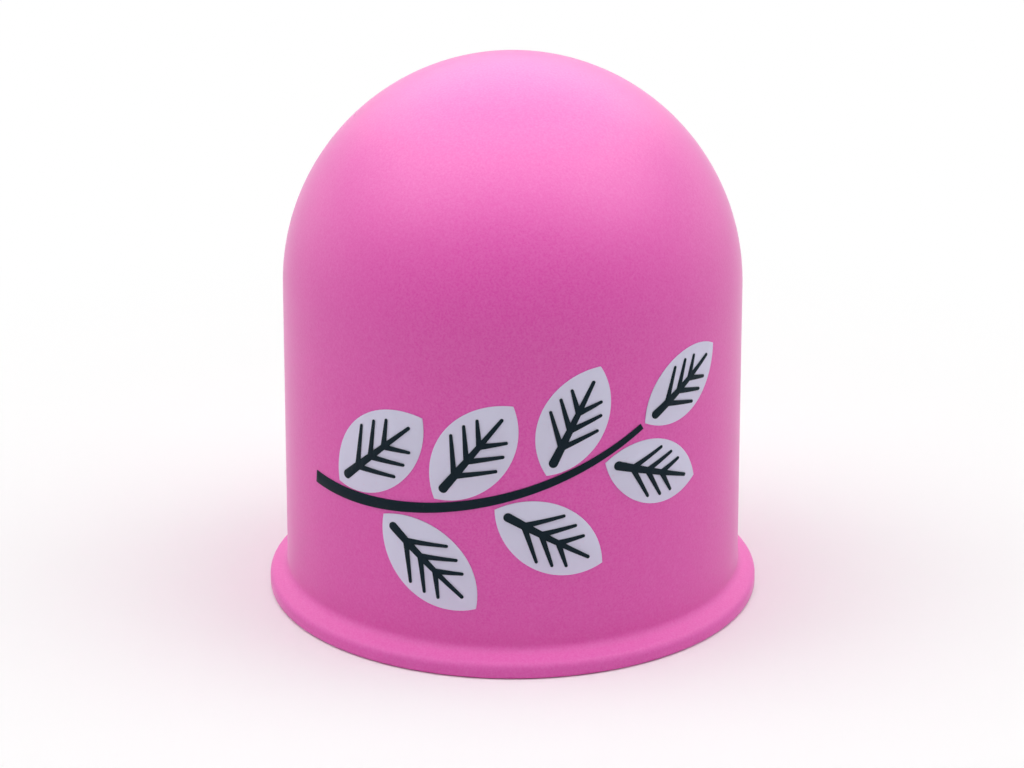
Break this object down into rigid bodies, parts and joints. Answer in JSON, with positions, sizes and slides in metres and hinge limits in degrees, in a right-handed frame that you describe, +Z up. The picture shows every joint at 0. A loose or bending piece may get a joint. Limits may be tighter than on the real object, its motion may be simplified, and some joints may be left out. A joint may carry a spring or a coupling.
{
  "type": "cupping cup",
  "caption": "Soft silicone cupping cup: a domed crown on a straight barrel with a flanged sealing lip and a printed leaf sprig; the crown presses in to draw suction.",
  "frame": {"origin": "on the cup's axis, in the plane of the lip's resting face", "axes": "+Z up the axis to the dome, -Y out of the printed front, +X to the right as the front is seen"},
  "size_m": [0.055, 0.055, 0.0608],
  "materials": {
    "silicone": "matte, soft to the touch, fine powdery grain",
    "white_ink": "matte flexible printing ink",
    "black_ink": "satin flexible printing ink"
  },
  "bodies": {
    "cup": {"shoulder": "silicone", "barrel": "silicone", "sealing_lip": "silicone", "stem_print": "black_ink", "leaf_print_1": "white_ink", "leaf_print_2": "white_ink", "leaf_print_3": "white_ink", "leaf_print_4": "white_ink", "leaf_print_5": "white_ink", "leaf_print_6": "white_ink", "leaf_print_7": "white_ink", "vein_print_1": "black_ink", "vein_print_2": "black_ink", "vein_print_3": "black_ink", "vein_print_4": "black_ink", "vein_print_5": "black_ink", "vein_print_6": "black_ink", "vein_print_7": "black_ink"},
    "crown": {"crown": "silicone"}
  },
  "joints": [
    {"name": "crown_press", "type": "slide", "parent": "cup", "child": "crown", "axis": [0, 0, -1], "range_m": [0, 0.012], "stiffness_N_per_m": 900, "deforming": ["shoulder"]}
  ]
}
